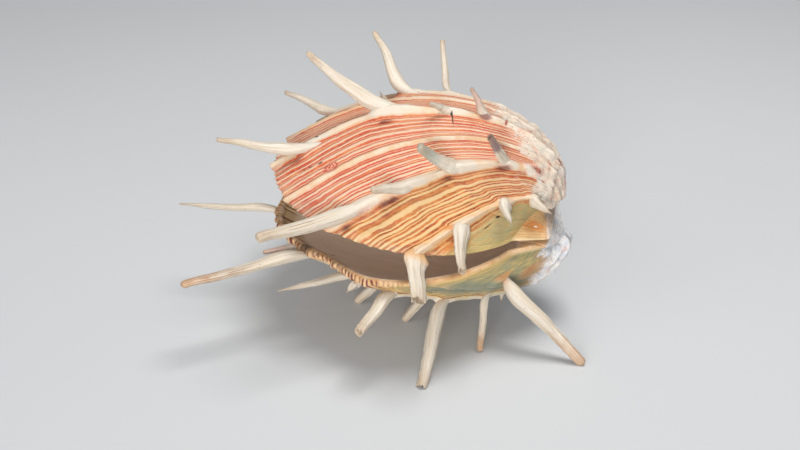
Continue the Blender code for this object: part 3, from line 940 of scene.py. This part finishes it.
def shell_material(name, look, specks, valve):
    """Ribs, zones and marks from the mesh's own numbers, broken up by noise."""
    g = Graph(name)
    for key, value in look.items():
        g.look[key] = srgb(*value) if isinstance(value, tuple) else value
    broad = g.broad = g.noise(70.0, 2.0)
    medium = g.medium = g.noise(330.0, 3.0)
    fine = g.fine = g.noise(1500.0, 2.0)
    keys = ("rib", "growth", "angle", "cord", "foot_shade", "warm", "plain", "chalk", "ear", "dark_mark")
    keys += ("scar", "patch", "fringe", "lip", "band", "inside", "near")
    here = {key: g.attribute(key) for key in keys}
    growth = here["growth"]
    angle = here["angle"]
    plain = here["plain"]
    here["cross"] = g.drawn(angle, 0.55, growth, 85.0)
    colour, line, ridge = lined_ground(g, here)

    # The cords are pale and smooth.
    on_cord = g.edge(here["cord"], 1.35, 0.75, 0.4)
    cord = g.mix(g.edge(broad, 0.4, 0.62, 0.4), "cord", "cord_two")
    side = g.smooth(angle, 86.0, 100.0)
    cord = g.over(cord, "web", side, 0.25)
    root = g.over("root", "web", side, 0.4)
    cord = g.over(cord, root, g.smooth(here["near"], 0.08, 0.7))
    colour = g.over(colour, cord, on_cord)

    # Beyond the last cord the surface is smooth and olive, with growth lines and flakes.
    wave = g.math("SINE", g.add(g.times(growth, 330.0), g.times(broad, 20.0)))
    growth_line = g.smooth(wave, 0.2, 1.0)
    flakes = g.drawn(angle, 0.14, growth, 17.0, 3.0, 0.6)
    bare = g.mix(g.smooth(flakes, 0.36, 0.6), "plain", "plain_two")
    bare = g.over(bare, "plain_three", g.smooth(broad, 0.4, 0.7), 0.5)
    # Towards the near side: on the lower valve a painted shade with a painted bluish reflection, on
    # the upper valve a plain tone.
    bare = g.over(bare, "side_tone_and_shade", g.edge(angle, 128.0, 106.0, broad=16.0), "side_tone_and_shade_cover")
    bare = g.over(bare, "plain_edge", g.edge(growth, 0.86, 0.98, broad=0.12), 0.8)
    bare = g.over(bare, "plain_line", growth_line, 0.13)
    bare = g.over(bare, "flake", g.smooth(flakes, 0.6, 0.68), "flake_cover")
    colour = g.over(colour, bare, plain, g.less(g.times(on_cord, "cord_cover")))

    # The ears have their growth lines close together.
    wave = g.math("SINE", g.add(g.times(growth, 120.0), g.times(broad, 14.0)))
    ear = g.over("ear", "ear_line", g.smooth(wave, 0.0, 0.9), 0.55)
    ear = g.over(ear, "edge", g.smooth(growth, 0.93, 0.985))
    colour = g.over(colour, ear, here["ear"])
    patch = g.times(g.edge(here["patch"], 0.1, 1.0, 0.8, 0.3), g.smooth(here["patch"], 0.03, 0.3))
    colour = g.over(colour, "patch", patch, "patch_cover")

    # Old, chalky shell round the umbo, with the colour left only in specks.
    colour = g.over(colour, "tan", g.smooth(here["chalk"], 0.02, 0.35), plain, 0.7)
    worn = g.edge(here["chalk"], 0.25, 0.7, 0.8, 0.3)
    chalk = g.mix(g.smooth(medium, 0.35, 0.65), "chalk", "chalk_two")
    chalk = g.over(chalk, "chalk_speck", g.smooth(g.noise(420.0, 4.0, 0.7), 0.5, 0.66), 0.5)
    chalk = g.over(chalk, "grit", g.smooth(g.noise(700.0, 2.0, 0.6), 0.63, 0.72), 0.6)
    # Painted bluish reflection over the chalk towards the umbo's tip, in patches.
    reflection_spread = g.smooth(g.noise(130.0, 2.0), 0.42, 0.6)
    chalk = g.over(chalk, "lilac_reflection", g.smooth(growth, "lilac_reflection_end", 0.05), reflection_spread)
    colour = g.over(colour, chalk, worn)

    # The margin's fringe of slanted stripes runs on over its edge.
    lip = here["lip"]
    teeth_at = g.add(g.moved(g.times(angle, 0.42), 0.9, broad=3.0), g.times(lip, 0.8))
    teeth = g.smooth(g.math("PINGPONG", teeth_at, 0.5), 0.2, 0.36)
    teeth = g.times(teeth, g.smooth(g.chance(g.math("ROUND", teeth_at)), 0.05, 0.5, 0.25, 1.0))
    fringe = g.over("fringe", "fringe_line", teeth)
    colour = g.over(colour, fringe, here["fringe"], "fringe_cover")
    rim = g.mix(g.smooth(medium, 0.35, 0.65), "edge", "edge_two")
    rim = g.over(rim, "fringe_line", teeth, g.edge(lip, 0.8, 0.4, 0.3), here["fringe"])
    colour = g.over(colour, rim, g.smooth(lip, 0.1, 0.3))

    # A healed break, dark red-brown marks at the roots of the spines, and small dark specks.
    torn = g.mix(g.smooth(fine, 0.4, 0.6), "scar", "scar_two")
    scar = here["scar"]
    colour = g.over(colour, torn, g.edge(scar, 0.25, 0.55, 0.6), g.smooth(scar, 0.05, 0.2))
    dark_mark = here["dark_mark"]
    mark_amount = g.times(g.edge(dark_mark, 0.1, 1.0, 0.5, 0.4), g.smooth(dark_mark, 0.03, 0.4))
    mark_amount = g.times(mark_amount, g.add(0.88, g.times(line, 0.12)))
    deep = g.mix(here["warm"], "dark_mark_red", "dark_mark")
    mark_colour = g.mix(g.smooth(mark_amount, 0.3, 0.85), "dark_mark_thin", deep)
    colour = g.over(colour, mark_colour, mark_amount, 0.9)
    for mark in specks:
        across, along = mark_scale(mark, valve)
        x = g.times(g.take(angle, mark[0]), across)
        y = g.times(g.take(growth, mark[1]), along)
        square = g.add(g.times(x, x), g.times(y, y))
        colour = g.over(colour, mark[4], g.edge(square, 1.2, 0.5, fine=1.2), 0.92)

    # The hollow is smooth and pale, with a folded band next to the margin.
    fold = g.smooth(g.math("PINGPONG", g.moved(here["rib"], 0.2), 0.5), 0.28, 0.44)
    band = g.over("band", "band_line", fold)
    streaks = g.smooth(g.drawn(angle, 0.12, growth, 3.0), 0.35, 0.65)
    hollow = g.over("hollow", "hollow_two", streaks)
    hollow = g.over(hollow, band, here["band"])
    colour = g.over(colour, hollow, here["inside"])

    rough = g.add(g.smooth(medium, 0.3, 0.7, 0.38, 0.56), g.times(worn, 0.22))
    rough = g.take(rough, g.times(here["inside"], 0.04))
    outside = g.less(here["inside"])
    on_ribs = g.times(outside, g.less(plain))
    on_plain = g.times(outside, plain)
    height = g.add(
        g.times(here["cross"], 0.9, on_ribs),
        g.times(growth_line, 0.3, on_plain),
        g.times(flakes, 0.4, on_plain),
        g.times(ridge, g.less(on_cord), on_ribs, g.less(here["ear"]), 0.8),
        g.times(fine, g.add(0.35, g.times(worn, 1.2))),
        g.times(medium, worn, 1.1),
        g.times(g.noise(800.0, 3.0, 0.65), worn, 1.6),
        g.times(line, -0.7, g.less(worn)),
    )
    g.shader.inputs["Specular IOR Level"].default_value = SPECULAR
    return g.finish(colour, rough, height, SHELL_BUMP, 0.7)


def spine_material(name):
    """Pale spine with fine lengthwise lines, tinted towards some tips."""
    g = Graph(name)
    g.medium = g.noise(300.0, 3.0)
    g.fine = g.noise(1400.0, 2.0)
    along = g.attribute("along")
    x = g.attribute("ring_x")
    y = g.attribute("ring_y")
    own = g.attribute("own")
    rust = g.attribute("rust")
    run = g.times(along, g.attribute("length"), 0.045)
    lines = g.drawn(x, 2.6, y, 2.6, 3.0, 0.6, g.add(run, g.times(own, 40.0)))
    fine_lines = g.drawn(x, 8.0, y, 8.0, z=g.add(g.times(run, 1.4), g.times(own, 17.0)))
    colour = g.mix(g.smooth(lines, 0.35, 0.68), srgb(214, 205, 191), srgb(200, 186, 165))

    # One over the other: lines, scores, root, painted warm shade under the root, tints, spots, pits,
    # dirt.
    for tone, *amounts in (
        ((168, 144, 116), g.smooth(fine_lines, 0.55, 0.75), 0.4),
        ((136, 106, 80), g.edge(fine_lines, 0.6, 0.68, -0.25), g.smooth(along, 0.3, 0.7, 0.1, 0.6)),
        ((211, 202, 188), g.edge(along, 0.46, 0.2, 0.2), 0.8),
        # Painted shade: warmer and darker on the root's underside.
        ((224, 160, 96), g.edge(along, 0.34, 0.12, 0.16), g.smooth(y, 0.1, -0.8), 0.75),
        ((212, 166, 112), g.attribute("web"), g.edge(along, 0.52, 0.3, 0.2), 0.85),
        ((196, 150, 142), g.attribute("pink"), g.edge(along, 0.35, 0.75, 0.25), 0.85),
        ((164, 167, 155), g.attribute("glass"), g.edge(along, 0.5, 0.8, 0.25), 0.85),
        ((126, 96, 100), g.attribute("purple"), g.edge(along, 0.6, 0.74, 0.25), 0.85),
        ((206, 158, 118), rust, g.edge(along, 0.7, 1.0, 0.25), 0.85),
        ((186, 84, 70), g.attribute("red"), g.edge(along, -0.3, 0.2, 0.25), 0.85),
        ((160, 128, 96), g.smooth(g.fine, 0.6, 0.75), g.smooth(g.medium, 0.45, 0.65, 0.05, 0.35)),
        ((140, 100, 72), g.edge(fine_lines, 0.5, 0.6, 0.3), g.smooth(along, 0.5, 0.75), rust),
        ((96, 74, 56), g.smooth(g.noise(800.0, 2.0, 0.6), 0.7, 0.76), 0.7, g.smooth(along, 0.3, 0.6)),
        ((170, 138, 104), g.edge(along, 0.75, 1.05, 0.3), 0.45),
    ):
        colour = g.over(colour, srgb(*tone), *amounts)
    height = g.add(g.times(lines, 1.2), g.times(fine_lines, 0.8), g.times(g.fine, 0.3))
    g.shader.inputs["Specular IOR Level"].default_value = SPECULAR
    return g.finish(colour, g.smooth(lines, 0.3, 0.7, 0.38, 0.58), height, SPINE_BUMP, 0.8)


def ligament_material():
    g = Graph("ligament_dry")
    layers = g.noise(900.0, 4.0, 0.6)
    colour = g.mix(g.smooth(layers, 0.3, 0.7), srgb(52, 38, 30), srgb(96, 70, 48))
    return g.finish(colour, g.smooth(layers, 0.3, 0.7, 0.5, 0.8), layers, SPINE_BUMP, 0.7)


LIGAMENT_SIZE = np.array([5.0, 8.0, 4.0]) * 0.98
LIGAMENT_PLACE = np.array([4.0, 0.0, 0.0])
LIGAMENT_LEVELS = 5


def ligament_piece(material):
    """The dried ligament: a rounded, layered pad in the hinge's pit."""
    bpy.ops.mesh.primitive_cube_add(size=1.0)
    obj = bpy.context.object
    obj.name = "ligament_pad"
    obj.data.name = "ligament_pad"
    modifier = obj.modifiers.new("soft", "SUBSURF")
    modifier.levels = LIGAMENT_LEVELS
    modifier.render_levels = LIGAMENT_LEVELS
    bpy.ops.object.modifier_apply(modifier=modifier.name)
    mesh = obj.data
    co = np.empty(len(mesh.vertices) * 3)
    mesh.vertices.foreach_get("co", co)
    co = co.reshape(-1, 3)
    co /= np.abs(co).max(axis=0) * 2.0
    layer = 0.12 * np.sin(co[:, 2] * 55.0) + 0.08 * np.sin(co[:, 1] * 31.0)
    boxy = np.sign(co) * np.abs(co * 2.0) ** 0.75 / 2.0
    points = boxy * LIGAMENT_SIZE * (1.0 + 0.04 * layer[:, None]) + LIGAMENT_PLACE
    middle_pitch = 0.5 * (UPPER["pitch"] + LOWER["pitch"])
    points = within_node(to_scene(points, middle_pitch), "ligament")
    mesh.vertices.foreach_set("co", (points * MM).ravel())
    mesh.polygons.foreach_set("use_smooth", np.ones(len(mesh.polygons), bool))
    mesh.update()
    mesh.materials.append(material)
    return obj


# Colours as they look on a screen, and how strongly some of them cover.
UPPER_LOOK = dict(
    crest=(212, 179, 152), crest_warm=(210, 176, 126), flank=(206, 124, 98),
    # The next line holds the colour of the painted shade at the cords' feet, which also tints the
    # grooves' threads.
    flank_two=(212, 148, 94), flank_warm=(204, 144, 80), foot_shade=(204, 142, 92), line=(178, 52, 48),
    line_two=(184, 60, 38), line_warm=(170, 74, 34), line_deep=(126, 40, 32), line_low=0.4,
    line_cover=0.92, far_lines=0.55, cord=(214, 194, 170), cord_two=(210, 172, 134),
    root=(209, 198, 182), web=(210, 172, 122), tan=(196, 156, 126), cord_cover=0.9,
    plain=(172, 160, 112), plain_two=(190, 160, 104), plain_three=(162, 162, 130),
    side_tone_and_shade=(190, 160, 104), side_tone_and_shade_cover=0.3, plain_edge=(200, 176, 116),
    plain_line=(146, 132, 92), flake=(196, 140, 80), flake_cover=0.5, ear=(214, 176, 124),
    ear_line=(192, 140, 84), patch=(198, 122, 58), patch_cover=0.9, chalk=(212, 194, 176),
    chalk_two=(214, 204, 190), chalk_speck=(210, 150, 122), grit=(168, 106, 84),
    # The bluish colour on the next line is a painted reflection on the chalk.
    lilac_reflection=(188, 188, 206), lilac_reflection_end=0.2, scar=(170, 72, 56), scar_two=(214, 152, 124),
    dark_mark=(84, 26, 24), dark_mark_red=(104, 30, 26), dark_mark_thin=(176, 84, 44), speck=(36, 32, 24),
    pearl=(232, 222, 214), fringe=(228, 206, 176), fringe_line=(176, 76, 56), fringe_cover=0.25,
    edge=(222, 196, 152), edge_two=(214, 170, 112), band=(212, 186, 144), band_line=(150, 112, 80),
    hollow=(250, 233, 218), hollow_two=(246, 226, 208),
)
LOWER_LOOK = dict(
    UPPER_LOOK,
    crest=(220, 202, 168), crest_warm=(214, 196, 140), flank=(206, 166, 116),
    flank_warm=(196, 170, 104), line=(122, 44, 44), line_two=(150, 64, 48), line_warm=(146, 78, 48),
    line_deep=(98, 46, 50), line_low=0.2, far_lines=0.8, plain=(206, 182, 118),
    # The lower valve's cord colours here are greyer and darker than the upper's: painted shade.
    plain_two=(168, 160, 120), plain_three=(150, 158, 140), cord=(196, 188, 172),
    web=(190, 168, 124), cord_two=(186, 172, 146), cord_cover=0.15, fringe_cover=0.9,
    # The near side's colour on the next line is painted shade with a painted bluish reflection.
    side_tone_and_shade=(120, 131, 118), side_tone_and_shade_cover=0.9, plain_edge=(208, 174, 112),
    plain_line=(128, 116, 80), flake=(136, 84, 58), flake_cover=0.4, ear=(190, 180, 128),
    ear_line=(150, 164, 142), patch=(196, 134, 86), patch_cover=0.65, chalk=(222, 220, 216),
    chalk_two=(206, 208, 214), chalk_speck=(206, 164, 146), grit=(150, 120, 112),
    # The bluish colour on the next line is a painted reflection on the chalk.
    lilac_reflection=(186, 192, 200), lilac_reflection_end=0.3, dark_mark=(52, 34, 24), dark_mark_red=(60, 46, 32),
    dark_mark_thin=(150, 104, 64), fringe=(214, 176, 132), fringe_line=(104, 44, 46),
    edge=(206, 174, 136), edge_two=(198, 152, 104),
)

upper_marks = {"dark_marks": UPPER_DARK_MARKS, "scars": UPPER_SCARS, "patches": UPPER_PATCHES}
lower_marks = {"dark_marks": LOWER_DARK_MARKS, "scars": (), "patches": LOWER_PATCHES}
upper_finish = shell_material("upper_shell", UPPER_LOOK, UPPER_SPECKS, UPPER)
lower_finish = shell_material("lower_shell", LOWER_LOOK, LOWER_SPECKS, LOWER)
spine_finish = spine_material("spine")
upper_shell = valve_skin(UPPER, UPPER_CORDS, UPPER_SPINES, upper_marks, upper_finish)
lower_shell = valve_skin(LOWER, LOWER_CORDS, LOWER_SPINES, lower_marks, lower_finish)
upper_spines = spines_piece(UPPER, UPPER_SPINES, UPPER_THORNS, spine_finish)
lower_spines = spines_piece(LOWER, LOWER_SPINES, LOWER_THORNS, spine_finish)
ligament = ligament_piece(ligament_material())

for piece, node, slot in (
    (upper_shell, "upper_valve", "upper_shell"),
    (upper_spines, "upper_valve", "upper_shell"),
    (lower_shell, "lower_valve", "lower_shell"),
    (lower_spines, "lower_valve", "lower_shell"),
    (ligament, "ligament", "ligament"),
):
    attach(piece, "root")
    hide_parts(node)

FLOOR_SIZE = 6.0


def floor():
    bpy.ops.mesh.primitive_plane_add(size=FLOOR_SIZE, location=(0.0, 0.0, 0.0))
    plane = bpy.context.object
    plane.name = "floor"
    g = Graph("floor_pale")
    tone = g.noise(3.0, 2.0)
    colour = g.mix(tone, srgb(198, 201, 204), srgb(204, 206, 208))
    g.feed(g.shader.inputs["Base Color"], colour)
    g.feed(g.shader.inputs["Roughness"], g.smooth(tone, 0.3, 0.7, 0.6, 0.7))
    plane.data.materials.append(g.material)


# Lights: name, place and size in metres, power in watts, colour.
LIGHTS = (
    ("key", (0.12, 0.04, 0.6), 0.3, 2.7, (1.0, 0.985, 0.96)),
    ("fill", (-0.4, -0.3, 0.4), 0.5, 0.7, (0.98, 0.985, 1.0)),
    ("front", (-0.29, -1.76, 0.38), 0.8, 27.1, (1.0, 0.98, 0.96)),
)
LIGHT_AIM = (0.0, 0.0, 0.03)
BACKGROUND_COLOUR = (0.95, 0.97, 1.0, 1.0)
BACKGROUND_STRENGTH = 0.27


def area_light(name, place, size, power, colour):
    data = bpy.data.lights.new(name, "AREA")
    data.shape = "DISK"
    data.size = size
    data.energy = power
    data.color = colour
    lamp = show(name, data)
    lamp.location = place
    aim = Vector(LIGHT_AIM) - Vector(place)
    lamp.rotation_euler = aim.to_track_quat("-Z", "Y").to_euler()


# The camera looks down a little at the shell's near side.
CAMERA_AIM = HINGE - np.array([46.0, 0.0, 2.7])
CAMERA_DISTANCE = 0.42
CAMERA_TILT = math.radians(27.0)
CAMERA_LENS = 63.0
SENSOR_WIDTH = 36.0


def camera():
    data = bpy.data.cameras.new("camera")
    data.lens = CAMERA_LENS
    data.sensor_width = SENSOR_WIDTH
    data.clip_start = 0.01
    eye = show("camera", data)
    back = np.array([0.0, -math.cos(CAMERA_TILT), math.sin(CAMERA_TILT)]) * CAMERA_DISTANCE
    eye.location = Vector(CAMERA_AIM * MM + back)
    eye.rotation_euler = (math.pi / 2.0 - CAMERA_TILT, 0.0, 0.0)
    bpy.context.scene.camera = eye


floor()
camera()
for light in LIGHTS:
    area_light(*light)
world = bpy.data.worlds.new("studio")
world.use_nodes = True
world.node_tree.nodes["Background"].inputs[0].default_value = BACKGROUND_COLOUR
world.node_tree.nodes["Background"].inputs[1].default_value = BACKGROUND_STRENGTH
bpy.context.scene.world = world
bpy.context.scene.view_settings.view_transform = "Standard"
